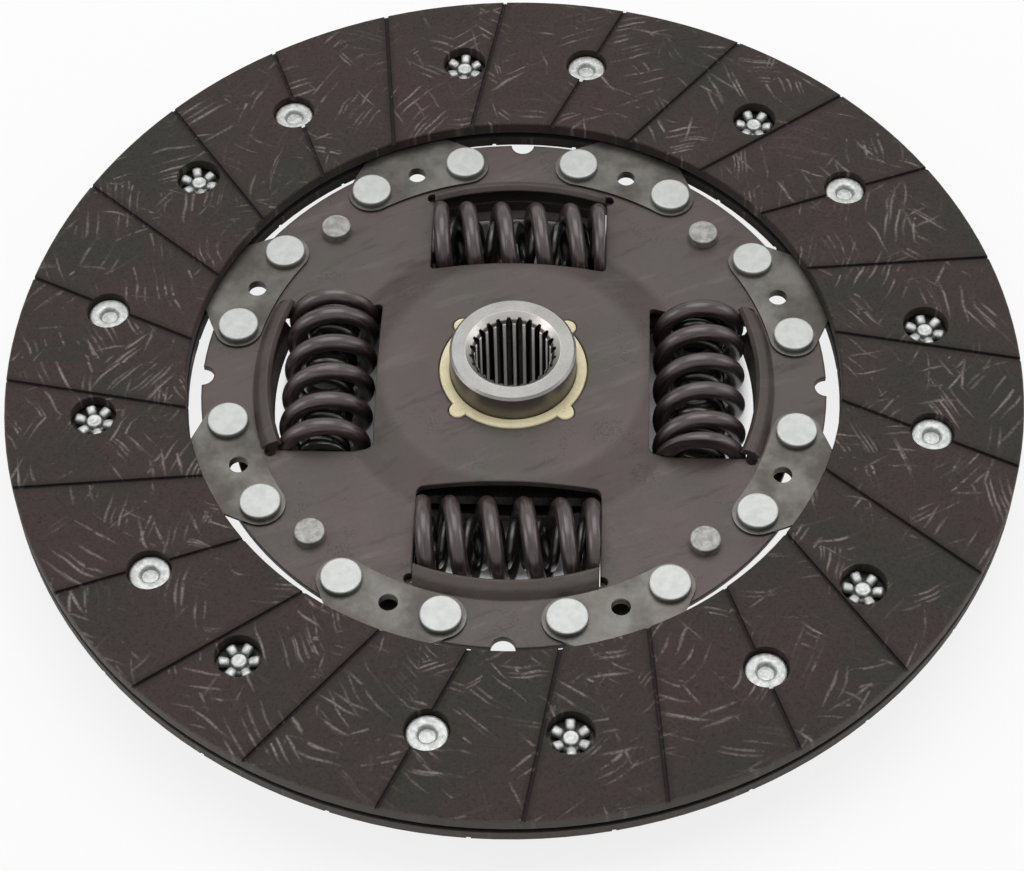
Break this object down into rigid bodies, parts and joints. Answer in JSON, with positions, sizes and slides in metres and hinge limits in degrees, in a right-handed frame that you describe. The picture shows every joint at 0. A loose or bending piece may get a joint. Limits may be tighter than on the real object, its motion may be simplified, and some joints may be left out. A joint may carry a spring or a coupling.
{
  "type": "clutch disc",
  "caption": "Round clutch driven plate with riveted, grooved friction linings, a coil-spring torsional damper and a splined steel hub.",
  "frame": {"origin": "on the disc's axis, midway between the backs of the two friction linings", "axes": "+Z along the axis towards the short nose of the hub; +X through the middle of one spring window"},
  "size_m": [0.24, 0.24, 0.03],
  "materials": {
    "friction_lining": "woven yarn and resin, dry and matt",
    "phosphated_steel": "grey-brown phosphate, satin",
    "segment_steel": "bare spring steel, satin",
    "zinc_rivet": "bright zinc plate",
    "plated_rivet": "bright plated steel",
    "pin_steel": "grey steel, satin",
    "hub_steel": "machined steel",
    "spring_steel": "dark oiled spring steel, satin",
    "inner_spring_steel": "dark oiled spring steel, satin",
    "cream_nylon": "moulded, slightly waxy",
    "washer_steel": "rolled steel"
  },
  "bodies": {
    "disc": {"front_drive_plate": "phosphated_steel", "rear_retainer_plate": "phosphated_steel", "front_lining": "friction_lining", "rear_lining": "friction_lining", "segment_rivets": "zinc_rivet", "front_lining_rivets": "plated_rivet", "rear_lining_rivets": "plated_rivet", "stop_pins": "pin_steel", "front_friction_bush": "cream_nylon", "rear_friction_ring": "cream_nylon", "thrust_washer": "washer_steel", "spring_washer": "washer_steel", "cushion_segment_1": "segment_steel", "cushion_segment_2": "segment_steel", "cushion_segment_3": "segment_steel", "cushion_segment_4": "segment_steel", "cushion_segment_5": "segment_steel", "cushion_segment_6": "segment_steel", "cushion_segment_7": "segment_steel", "cushion_segment_8": "segment_steel"},
    "hub": {"splined_hub": "hub_steel"},
    "springs": {"outer_spring_1": "spring_steel", "outer_spring_2": "spring_steel", "outer_spring_3": "spring_steel", "outer_spring_4": "spring_steel", "inner_spring_1": "inner_spring_steel", "inner_spring_2": "inner_spring_steel", "inner_spring_3": "inner_spring_steel", "inner_spring_4": "inner_spring_steel"}
  },
  "joints": [
    {"name": "hub_twist", "type": "hinge", "parent": "disc", "child": "hub", "pos_m": [0, 0, 0], "axis": [0, 0, 1], "range_deg": [-8, 8], "stiffness_Nm_per_rad": 800, "deforming": ["outer_spring_1", "outer_spring_2", "outer_spring_3", "outer_spring_4", "inner_spring_1", "inner_spring_2", "inner_spring_3", "inner_spring_4"]},
    {"name": "springs_follow", "type": "hinge", "parent": "disc", "child": "springs", "pos_m": [0, 0, 0], "axis": [0, 0, 1], "range_deg": [-4, 4]}
  ],
  "couplings": [
    {"joint": "springs_follow", "follows": "hub_twist", "ratio": 0.5}
  ]
}
